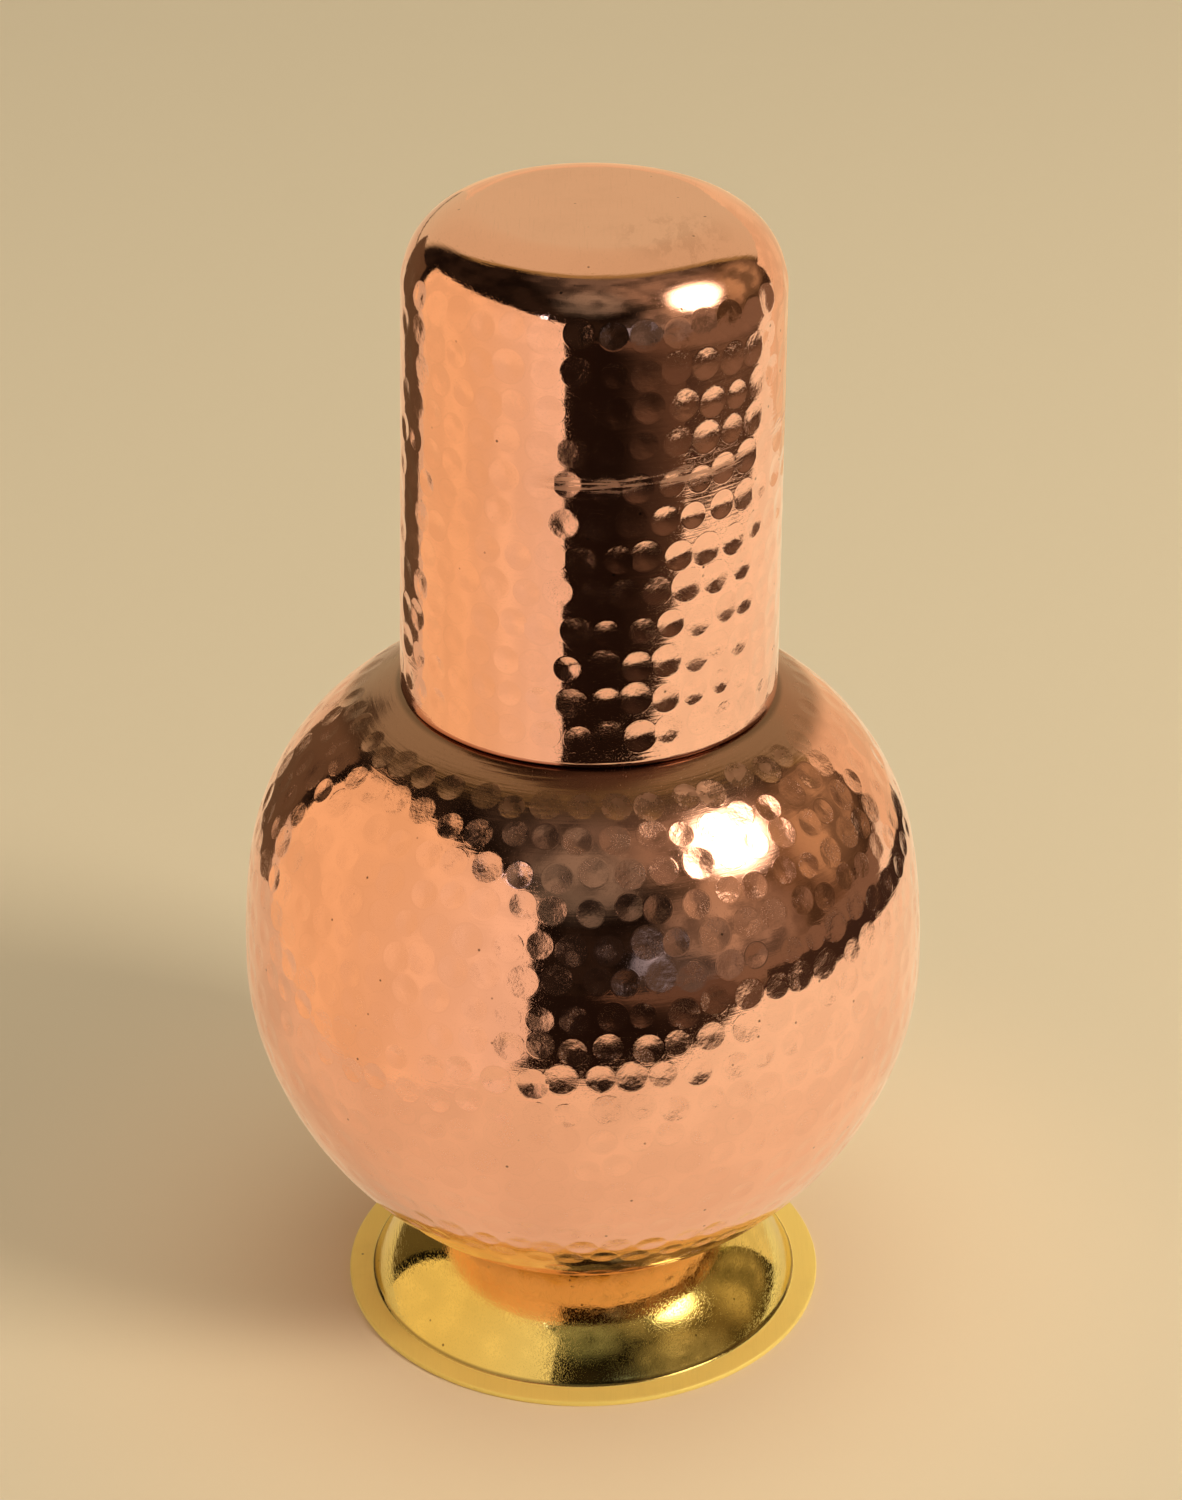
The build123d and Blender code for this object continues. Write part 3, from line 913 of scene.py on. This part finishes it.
def hammered_copper(name, colours, roughness, grain, centre=(0, 0, 0), satin=None, scuff=None, stained=None):
    """Polished copper with crisp hammer marks that keep some grain.

    Where wanted, it has a satin shoulder, painted darker as shade round and under the tumbler, with a
    painted shade line round the tumbler's mouth, a scuffed ring or a stained top.
    """
    bench = MetalBench(name, centre)
    dark, pit_dirt_and_shade = colours.copper_dark, colours.pit_dirt_and_shade
    way = bench.out("ShaderNodeAttribute", output="Vector", attribute_name="mark_way")
    deep = bench.out("ShaderNodeAttribute", output="Fac", attribute_name="mark_depth")
    square = bench.vector("DOT_PRODUCT", way, way)
    struck = deep > MICRON
    in_mark = bench.ramp(square, 1.0, 0.80) * struck
    rim = bench.ramp(abs(square - 1.0), 0.16, 0.0) * struck
    dish = bench.math("SMOOTH_MAX", bench.dish(square), 0.0, 0.10)
    scratches = bench.scratches()
    specks = bench.specks(460.0, 0.90)
    dull = bench.dulled()
    lines = bench.polishing_lines(1500.0, 90.0)
    blotch = bench.ramp(bench.noise(260.0, 3.0), 0.50, 0.62)
    grainy = in_mark * (0.35 + blotch * 0.65)
    lined = 1.0 - in_mark * 0.7
    rough = bench.relief((dull, 0.04), (scratches, 0.12), (grainy, 0.17 * grain), (1.0, roughness))
    # The darkening at each mark's rim is painted shade; dulling, grain, pits and scratches are wear
    layers = [
        (dull * 0.10, dark), (rim * 0.05, dark), (grainy * 0.04, dark), (specks * 0.85, pit_dirt_and_shade),
        (scratches * 0.10, dark),
    ]
    if satin:
        # Where the hammer didn't reach, the sheet is brushed, and painted less bright as shade round and
        # under the tumbler
        above, inner, outer, mouth_place, mouth_radius = satin
        shoulder = bench.ramp(bench.height, above, above + 0.004)
        brushed_and_shaded = bench.ramp(bench.radius, outer, inner) * shoulder
        lined = lined + brushed_and_shaded * 2.2
        rough = rough + brushed_and_shaded * 0.12
        from_mouth = bench.vector("DISTANCE", bench.xyz(bench.across, bench.deep), mouth_place)
        # Painted shade: a dark line round the tumbler's mouth, where it stands on the shoulder
        painted_shade = bench.ramp(abs(from_mouth - mouth_radius), 0.0012, 0.0002) * shoulder
        layers += [(brushed_and_shaded * 0.95, dark), (brushed_and_shaded * 0.35, pit_dirt_and_shade), (painted_shade * 0.60, pit_dirt_and_shade)]
    if scuff:
        # A ring of rubbed streaks
        level, half_width = scuff
        off = abs(bench.height + (bench.noise(28.0) - 0.5) * 0.008 - level)
        rubbed = bench.ramp(off, half_width, 0.2 * half_width) * bench.ramp(lines, 0.44, 0.60)
        rubbed = rubbed * bench.ramp(bench.noise(45.0), 0.38, 0.50)
        rubbed = rubbed * bench.ramp(bench.across, -0.012, -0.002) * bench.ramp(bench.deep, 0.004, -0.008)
        rough = rough + rubbed * 0.34
        layers += [(rubbed * 0.30, dark)]
    if stained:
        # Finger marks on the flat top
        spot = bench.vector("DISTANCE", bench.place, (0.014, -0.013, stained))
        stretched = bench.vector("MULTIPLY", bench.place, (1.0, 0.35, 1.0))
        stain = bench.ramp(bench.noise(330.0, 5.0, 0.7, stretched), 0.46, 0.60)
        stain = stain * bench.ramp(spot, 0.013, 0.005)
        rough = rough + stain * 0.12
        layers += [(stain * 0.30, dark)]
    height = bench.relief(
        (dish, deep * -1.0),
        (bench.noise(330.0, 2.0), 16 * MICRON),
        (lines * lined, 13 * MICRON),
        (bench.noise(1900.0, 3.0, 0.6) * grainy, 40 * MICRON * grain),
        (rim, 4 * MICRON),
        (bench.noise(700.0, 1.0) * in_mark, 22 * MICRON),
        (scratches, -3 * MICRON),
        (specks, -8 * MICRON),
    )
    return bench.metal(bench.tinted(colours.copper, *layers), rough, height)


def plain_metal(name, bright, dark, roughness, lined=0.0):
    """Plain sheet, wire or brazing, with a few scratches and dulled places."""
    bench = MetalBench(name)
    scratches = bench.scratches()
    dull = bench.dulled()
    worn = bench.relief((dull, 0.14), (scratches, 0.12))
    height = bench.relief((scratches, -3 * MICRON), (bench.polishing_lines(), 5 * MICRON * lined))
    return bench.metal(bench.mix(worn, bright, dark), worn * 0.6 + roughness, height)


def spun_brass(name, colours, crease, rim):
    """Polished brass, satin on the flange, with painted shade: a dark line in the crease and under the bowl.
    """
    bench = MetalBench(name)
    dark, pit_dirt_and_shade = colours.brass_dark, colours.pit_dirt_and_shade
    flange = bench.ramp(bench.radius, crease, crease + 0.0003)
    scratches = bench.scratches(0.56, 0.70) * (1.0 - flange * 0.7)
    specks = bench.specks(420.0, 0.88)
    dull = bench.dulled(60.0, 0.50)
    # Painted shade in the crease (groove) and under the bowl (joint)
    groove = bench.ramp(abs(bench.radius - (crease - 0.0001)), 0.00035, 0.00005)
    joint = bench.ramp(bench.radius, rim + 0.0040, rim + 0.0002)
    painted_shade = bench.math("MAXIMUM", groove, joint * 0.6)
    layers = [(dull * 0.16, dark), (scratches * 0.14, dark), (specks * 0.8, pit_dirt_and_shade), (painted_shade * 0.65, pit_dirt_and_shade)]
    tint = bench.tinted(colours.brass, (flange, colours.brass_flange), *layers)
    rough = bench.relief((dull, 0.05), (scratches, 0.14), (flange, 0.40), (1.0, 0.045))
    height = bench.relief(
        (bench.polishing_lines(1600.0, 60.0), flange * (-6 * MICRON) + 8 * MICRON),
        (bench.noise(120.0, 1.0), 30 * MICRON),
        (scratches, -6 * MICRON),
        (specks, -8 * MICRON),
    )
    return bench.metal(tint, rough, height, 1.0 - flange * 0.65)


# ---- Operators ----

# Columns of mesh round each piece: enough to show the marks, or only a round outline
BODY_COLUMNS, TUMBLER_COLUMNS, FOOT_COLUMNS, SMALL_COLUMNS = 620, 424, 384, 192

# The brushed shoulder, also painted darker as shade round and under the tumbler: how far above the belly it
# starts, and the radii where it is whole and where it ends
BRUSHED_SHADED_RISE, BRUSHED_SHADED_INNER, BRUSHED_SHADED_OUTER = 0.03, 0.0405, 0.0450

# Height of the tumbler's scuffed ring above its mouth, and half the ring's width
SCUFFED_RING = (0.0525, 0.0032)


class CARAFE_OT_body(bpy.types.Operator):
    """Make the two hammered halves of the body"""

    bl_idname = "carafe.body"
    bl_label = "Body"

    def execute(self, context):
        settings = context.scene.carafe
        shape = BodyShape(settings.body)
        step = 2 * pi * settings.body.belly_radius / BODY_COLUMNS
        seat, _ = tumbler_seat(shape, settings.tumbler)
        brushed_and_shaded = (settings.body.belly_height + BRUSHED_SHADED_RISE, BRUSHED_SHADED_INNER, BRUSHED_SHADED_OUTER)
        satin = (*brushed_and_shaded, (seat[0], seat[1], 0.0), settings.tumbler.mouth_radius)
        material = hammered_copper("Hammered copper", settings.colours, 0.05, 1.0, satin=satin)
        for name, section, node in (
            ("upper_body", upper_section(shape, step), "upper_shell"),
            ("lower_body", lower_section(shape, step * 1.05), "lower_shell"),
        ):
            hammering = (settings.body_marks, shape.mark_line())
            piece = turned_piece(name, section, BODY_COLUMNS, material, *hammering)
            finish_piece(piece, "carafe", "hammered_copper", node)
        return {"FINISHED"}


class CARAFE_OT_tumbler(bpy.types.Operator):
    """Make the hammered tumbler that stands over the neck"""

    bl_idname = "carafe.tumbler"
    bl_label = "Tumbler"

    def execute(self, context):
        settings = context.scene.carafe
        sizes = settings.tumbler
        step = 2 * pi * sizes.mouth_radius / TUMBLER_COLUMNS
        seat, lean = tumbler_seat(BodyShape(settings.body), sizes)
        wear = {"centre": seat, "scuff": SCUFFED_RING, "stained": sizes.height}
        material = hammered_copper("Tumbler copper", settings.colours, 0.045, 0.45, **wear)
        piece = turned_piece(
            "tumbler_cup", tumbler_section(sizes, step), TUMBLER_COLUMNS, material,
            settings.tumbler_marks, tumbler_mark_line(sizes), seat, lean,
        )
        finish_piece(piece, "tumbler", "tumbler_copper", "tumbler")
        return {"FINISHED"}


class CARAFE_OT_neck(bpy.types.Operator):
    """Make the neck tube with its rolled mouth"""

    bl_idname = "carafe.neck"
    bl_label = "Neck"

    def execute(self, context):
        settings = context.scene.carafe
        section = neck_section(settings.neck, BodyShape(settings.body))
        colours = settings.colours
        material = plain_metal("Plain copper", colours.copper, colours.copper_dark, 0.12, 0.3)
        piece = turned_piece("neck_tube", section, SMALL_COLUMNS, material)
        finish_piece(piece, "carafe", "plain_copper", "neck")
        return {"FINISHED"}


class CARAFE_OT_lip_wire(bpy.types.Operator):
    """Make the wire ring inside the rolled mouth"""

    bl_idname = "carafe.lip_wire"
    bl_label = "Lip wire"

    def execute(self, context):
        settings = context.scene.carafe
        sizes = settings.neck
        shape = BodyShape(settings.body)
        radius = sizes.radius + sizes.wire_radius + sizes.braze_gap
        height = shape.collar_start + settings.body.collar_height + sizes.height
        section = ring_section((radius, height), sizes.wire_radius)
        colours = settings.colours
        material = plain_metal("Drawn copper wire", colours.copper, colours.copper_dark, 0.2)
        piece = turned_piece("lip_wire_ring", section, SMALL_COLUMNS, material)
        finish_piece(piece, "carafe", "wire", "lip_wire")
        return {"FINISHED"}


class CARAFE_OT_foot(bpy.types.Operator):
    """Make the spun brass foot"""

    bl_idname = "carafe.foot"
    bl_label = "Foot"

    def execute(self, context):
        settings = context.scene.carafe
        foot = FootShape(settings.foot, BodyShape(settings.body), settings.neck.braze_gap)
        material = spun_brass("Spun brass", settings.colours, foot.crease, settings.foot.joint_radius)
        piece = turned_piece("brass_foot", foot_section(foot), FOOT_COLUMNS, material)
        finish_piece(piece, "carafe", "foot_brass", "foot")
        return {"FINISHED"}


class CARAFE_OT_brazing(bpy.types.Operator):
    """Make the brazed fillets at the neck and under the bowl"""

    bl_idname = "carafe.brazing"
    bl_label = "Brazed joints"

    def execute(self, context):
        settings = context.scene.carafe
        shape = BodyShape(settings.body)
        foot = FootShape(settings.foot, shape, settings.neck.braze_gap)
        material = plain_metal("Brazed joint", settings.colours.braze, settings.colours.brass_dark, 0.28)
        for name, section, node in (
            ("neck_fillet", neck_braze_section(settings.neck, shape), "neck_braze"),
            ("foot_bead", foot_braze_section(foot), "foot_braze"),
        ):
            finish_piece(turned_piece(name, section, SMALL_COLUMNS, material), "carafe", "braze", node)
        return {"FINISHED"}


# ---- Stage ----


def flat_panel(name, corners, material):
    """A flat panel of the stage."""
    mesh = bpy.data.meshes.new(name)
    mesh.from_pydata([tuple(corner) for corner in corners], [], [tuple(range(len(corners)))])
    mesh.materials.append(material)
    panel = new_object(name, mesh)
    return panel


def studio_card(name, corners, material):
    """A card that only shows in polished metal."""
    card = flat_panel(name, corners, material)
    card.visible_camera = False
    card.visible_diffuse = False
    card.visible_shadow = False
    card.visible_transmission = False


def square_corners(half):
    """Corners of a square round the middle."""
    return ((-half, -half), (half, -half), (half, half), (-half, half))


def compass(turn, rise=0.0):
    """Direction from a compass angle, from the front to the right, and a height angle, in degrees."""
    turn, rise = radians(turn), radians(rise)
    return Vector((sin(turn) * cos(rise), -cos(turn) * cos(rise), sin(rise)))


def aimed(place, aim):
    """The turn that makes a light or a card look from its place at a point."""
    return (Vector(aim) - Vector(place)).to_track_quat("-Z", "Y")


def glow_shader(bench, tint, far_tint, start, end):
    """A glow, uneven as light on paper, whose colour changes evenly from one point to another."""
    run = Vector(end) - Vector(start)
    way = bench.vector("SUBTRACT", bench.coordinates, start)
    along = bench.vector("DOT_PRODUCT", way, tuple(run / run.length_squared))
    blend = bench.mix(bench.ramp(along, 0.0, 1.0), tint, far_tint)
    cloud = bench.out("ShaderNodeTexNoise", {"Vector": bench.coordinates, "Scale": 16.0, "Detail": 1.0})
    inputs = {"Color": blend, "Strength": bench.ramp(cloud, 0.35, 0.65, 0.92, 1.06)}
    return bench.out("ShaderNodeEmission", inputs)


def glow_card(name, corners, tint, far_tint=None, start=(0, 0, 0), end=(0, 0, 1)):
    """A glowing card that only shows in polished metal."""
    bench = MaterialBench(name)
    glow = glow_shader(bench, tint, far_tint or tint, start, end)
    studio_card(name, corners, bench.finish(glow))


def standing_card(name, turn, distance, shift, width, bottom, top, *glow):
    """An upright card at a compass angle, facing the axis."""
    away, along = compass(turn), compass(turn + 90)
    middle = distance * away + shift * along
    ends = (middle - along * width / 2, middle + along * width / 2)
    corners = [(*end[:2], height) for end, height in zip((*ends, *ends[::-1]), (bottom, bottom, top, top))]
    glow_card(name, corners, *glow)


def lamp_card(name, place, aim, width, core, tint, strength):
    """The lamp as polished metal sees it: white in the middle, and softer and warmer towards the edge."""
    turned = aimed(place, aim).to_matrix()
    corners = [Vector(place) + turned @ Vector((x, y, 0)) for x, y in square_corners(width / 2)]
    bench = MaterialBench(name)
    share = bench.ramp(bench.vector("DISTANCE", bench.coordinates, place), width / 2, core)
    bright = {"Color": (*tint, 1.0), "Strength": bench.math("POWER", share, 2.2) * strength}
    shaders = {0: bench.out("ShaderNodeEmission", bright), 1: bench.out("ShaderNodeBsdfTransparent")}
    studio_card(name, corners, bench.finish(bench.out("ShaderNodeAddShader", shaders)))


def floor_material(tint, bounce_light_tint, glow_left, glow_right):
    """Plain pale floor, painted lighter and warmer round the foot as light thrown back from the metal, and a
    little brighter where polished metal looks at it.
    """
    bench = MaterialBench("Plain floor")
    # Painted pool of light thrown back from the metal onto the floor round the foot
    near = bench.ramp(bench.vector("LENGTH", bench.coordinates), 0.15, 0.05)
    diffuse = bench.out("ShaderNodeBsdfDiffuse", {"Color": bench.mix(near, tint, bounce_light_tint)})
    bright = glow_shader(bench, glow_left, glow_right, (-0.15, 0, 0), (0.30, 0, 0))
    shaded = bench.out("ShaderNodeBsdfDiffuse", {"Color": (*(0.45 * value for value in tint), 1.0)})
    both = bench.out("ShaderNodeAddShader", {0: shaded, 1: bright})
    return bench.finish(bench.by_ray("Glossy", diffuse, both))


# Half the floor's width, how far the room reaches, and how high its dark panels lie over the floor
FLOOR_REACH, ROOM_REACH, ROOM_LIFT = 8.0, 16.0, 0.0006

# Floor colour round the foot, painted lighter and warmer as light thrown back from the metal, and its glow
# in polished metal on the left and on the right
FLOOR_TINTS = ((0.72, 0.555, 0.345), (0.52, 0.385, 0.23), (0.65, 0.575, 0.38))

# The table ends in front and to the right, where the dark room starts
TABLE_FRONT, TABLE_CORNER = (-ROOM_REACH, -0.238), (0.350, -0.238)
TABLE_SIDE, TABLE_BACK = (0.415, -0.08), (0.40, 0.12)
ROOM_CORNER, ROOM_BACK = (ROOM_REACH, -ROOM_REACH), (ROOM_REACH, 0.75 * ROOM_REACH)
DARK_ROOM = (
    ("front_room", ((-ROOM_REACH, -ROOM_REACH), ROOM_CORNER, TABLE_CORNER, TABLE_FRONT),
     (0.012, 0.007, 0.004), (0.130, 0.080, 0.045), (0.10, 0, 0), (0.50, 0, 0)),
    ("right_room", (TABLE_CORNER, ROOM_CORNER, ROOM_BACK, TABLE_BACK, TABLE_SIDE),
     (0.050, 0.030, 0.018), (0.22, 0.145, 0.080), (0.38, 0, 0), (0.62, 0, 0)),
)

# Upright cards: name, compass angle, distance, sideways shift, width, bottom, top, and how they glow.
# The two strips stand near the bowl, below what the tumbler sees.
STRIP = (0.085, 0, 0.0585, 0.084, 0.0945, (0.045, 0.027, 0.016))
STANDING_CARDS = (
    ("strip_61", 61, *STRIP),
    ("strip_99", 99, *STRIP),
    ("left_card", -65, 0.182, 0, 0.43, 0, 0.305,
     (0.93, 0.635, 0.315), (0.96, 0.735, 0.48), (-0.195, -0.02, 0), (-0.082, -0.255, 0)),
    ("spark", -65, 0.180, 0.134, 0.022, 0.304, 0.316, (3.0, 3.0, 3.2)),
    ("left_gap", -133, 0.30, 0, 0.13, 0, 0.265, (0.12, 0.076, 0.036)),
    ("back_card", 158, 0.40, 0, 0.52, 0, 0.34, (0.84, 0.60, 0.33)),
)

# Soft glows of the room as polished metal sees it: direction, inner and outer spread in degrees, colour
ROOM_BASE = (0.014, 0.009, 0.005)
ROOM_GLOWS = (
    (compass(55, 72), 18, 44, (0.10, 0.078, 0.05)),
    (compass(88, 8), 22, 52, (0.11, 0.066, 0.030)),
    (compass(48, 6), 10, 36, (0.105, 0.088, 0.064)),
    (compass(50, 24), 6, 22, (0.16, 0.11, 0.06)),
    (compass(70, 55), 14, 30, (0.09, 0.057, 0.03)),
    (compass(108, 22), 6, 22, (0.22, 0.15, 0.07)),
    (compass(22, 12), 3, 7, (0.32, 0.38, 0.44)),
    (compass(-2, 50), 6, 22, (0.085, 0.080, 0.055)),
)
BACK_WALL, BACK_WALL_EDGE = (0.70, 0.57, 0.33), (0.36, 0.26, 0.09)

# What the lamp is aimed at, and the lamp's card: place, aim, width, bright core, colour and strength
AIM = (0, 0, 0.12)
LAMP_CARD = ((*(0.308 * compass(70))[:2], 0.405), AIM, 0.30, 0.055, (1.0, 0.84, 0.60), 7.5)

# Soft lights: place, aim, size and colour
WINDOW = (2.2 * compass(61, 34), AIM, 0.60, (1.0, 0.95, 0.86))
OVERHEAD = ((0.3, 0.1, 2.4), (0, 0, 0), 2.4, (1.0, 0.97, 0.92))


def room_world(settings):
    """The room round the stage: plain for the camera and the floor, and varied in polished metal."""
    world = bpy.data.worlds.new("Room")
    bpy.context.scene.world = world
    world.use_nodes = True
    world.node_tree.nodes.clear()
    bench = NodeBench(world.node_tree)
    direction = bench.out("ShaderNodeTexCoord", output="Generated")
    total = ROOM_BASE
    for towards, inner, outer, tint in ROOM_GLOWS:
        facing = bench.vector("DOT_PRODUCT", direction, tuple(towards))
        share = bench.ramp(facing, cos(radians(outer)), cos(radians(inner)))
        total = bench.mix(1.0, total, bench.mix(share, (0.0, 0.0, 0.0), tint), "ADD")
    clutter = bench.out("ShaderNodeTexNoise", {"Vector": direction, "Scale": 5.0, "Detail": 3.0})
    total = bench.times(total, bench.ramp(clutter, 0.36, 0.62, 0.55, 1.55))
    # The lit wall behind reaches up to overhead, where it ends in a warm edge
    right, back, up = bench.parts(direction)
    back = back - right * right * 1.2
    above = bench.ramp(abs(right - 0.05), 0.70, 0.60) * bench.ramp(up, -0.02, 0.02)
    for tint, start, end in ((BACK_WALL_EDGE, -0.08, -0.01), (BACK_WALL, 0.02, 0.10)):
        total = bench.mix(above * bench.ramp(back, start, end), total, tint)
    shades = ((total, 1.0), ((*settings.floor_colour, 1.0), 0.9), ((0.80, 0.76, 0.68, 1.0), 0.55))
    varied, plain, soft = (
        bench.out("ShaderNodeBackground", {"Color": shade, "Strength": power}) for shade, power in shades
    )
    everything = bench.by_ray("Glossy", bench.by_ray("Camera", soft, plain), varied)
    bench.add("ShaderNodeOutputWorld", {"Surface": everything})


def soft_light(name, power, place, aim, size, tint):
    """A soft square light aimed at a point, which doesn't show in polished metal."""
    data = bpy.data.lights.new(name, "AREA")
    data.shape = "SQUARE"
    data.size = size
    data.energy = power
    data.color = tint
    light = new_object(name, data)
    light.location = place
    light.rotation_euler = aimed(place, aim).to_euler()
    light.visible_camera = False
    light.visible_glossy = False


def stage_camera(stage):
    """The camera, where the stage's sizes put it."""
    data = bpy.data.cameras.new("camera")
    data.lens = stage.camera_lens
    data.sensor_width = 36.0
    data.sensor_fit = "AUTO"
    camera = new_object("camera", data)
    camera.location = (stage.camera_side, -stage.camera_distance, stage.camera_height)
    camera.rotation_euler = (pi / 2 - stage.camera_tilt, 0, 0)
    return camera


class CARAFE_OT_stage(bpy.types.Operator):
    """Make the floor, the studio cards, the lights and the camera"""

    bl_idname = "carafe.stage"
    bl_label = "Stage"

    def execute(self, context):
        scene = context.scene
        stage = scene.carafe.stage
        corners = [(*corner, 0) for corner in square_corners(FLOOR_REACH)]
        flat_panel("floor", corners, floor_material(stage.floor_colour, *FLOOR_TINTS))
        for name, edge, *glow in DARK_ROOM:
            glow_card(name, [(*corner, ROOM_LIFT) for corner in edge], *glow)
        for card in STANDING_CARDS:
            standing_card(*card)
        room_world(stage)
        lamp_card("lamp_card", *LAMP_CARD)
        soft_light("window", stage.lamp_power, *WINDOW)
        soft_light("overhead", stage.fill_power, *OVERHEAD)
        scene.camera = stage_camera(stage)
        scene.view_settings.view_transform = "Standard"
        return {"FINISHED"}


# ---- Panel and registration ----

OPERATORS = (
    CARAFE_OT_body,
    CARAFE_OT_neck,
    CARAFE_OT_lip_wire,
    CARAFE_OT_foot,
    CARAFE_OT_brazing,
    CARAFE_OT_tumbler,
    CARAFE_OT_stage,
)


class CARAFE_PT_panel(bpy.types.Panel):
    """Buttons for the carafe's pieces"""

    bl_idname = "CARAFE_PT_panel"
    bl_label = "Carafe"
    bl_space_type = "VIEW_3D"
    bl_region_type = "UI"
    bl_category = "Carafe"

    def draw(self, context):
        for operator in OPERATORS:
            self.layout.operator(operator.bl_idname)


CLASSES = (
    CarafeBodySizes,
    CarafeHammerSizes,
    CarafeNeckSizes,
    CarafeFootSizes,
    CarafeTumblerSizes,
    CarafeMetalColours,
    CarafeStageSizes,
    CarafeSettings,
    *OPERATORS,
    CARAFE_PT_panel,
)

# Where the tumbler's marks differ from the body's
TUMBLER_MARKS = {
    "mark_depth": 0.00019,
    "row_pitch": 0.0066,
    "mark_spacing": 0.0057,
    "wander": 0.0006,
    "waviness": 0.00005,
    "seed": 11,
}


def register():
    """Adds the classes and the settings."""
    for item in CLASSES:
        bpy.utils.register_class(item)
    bpy.types.Scene.carafe = PointerProperty(type=CarafeSettings)


def unregister():
    """Takes the classes and the settings away."""
    del bpy.types.Scene.carafe
    for item in reversed(CLASSES):
        bpy.utils.unregister_class(item)


def main():
    """Makes the carafe and its stage."""
    register()
    for name, value in TUMBLER_MARKS.items():
        setattr(bpy.context.scene.carafe.tumbler_marks, name, value)
    bpy.ops.carafe.body()
    bpy.ops.carafe.neck()
    bpy.ops.carafe.lip_wire()
    bpy.ops.carafe.foot()
    bpy.ops.carafe.brazing()
    bpy.ops.carafe.tumbler()
    bpy.ops.carafe.stage()


if __name__ == "__main__":
    main()
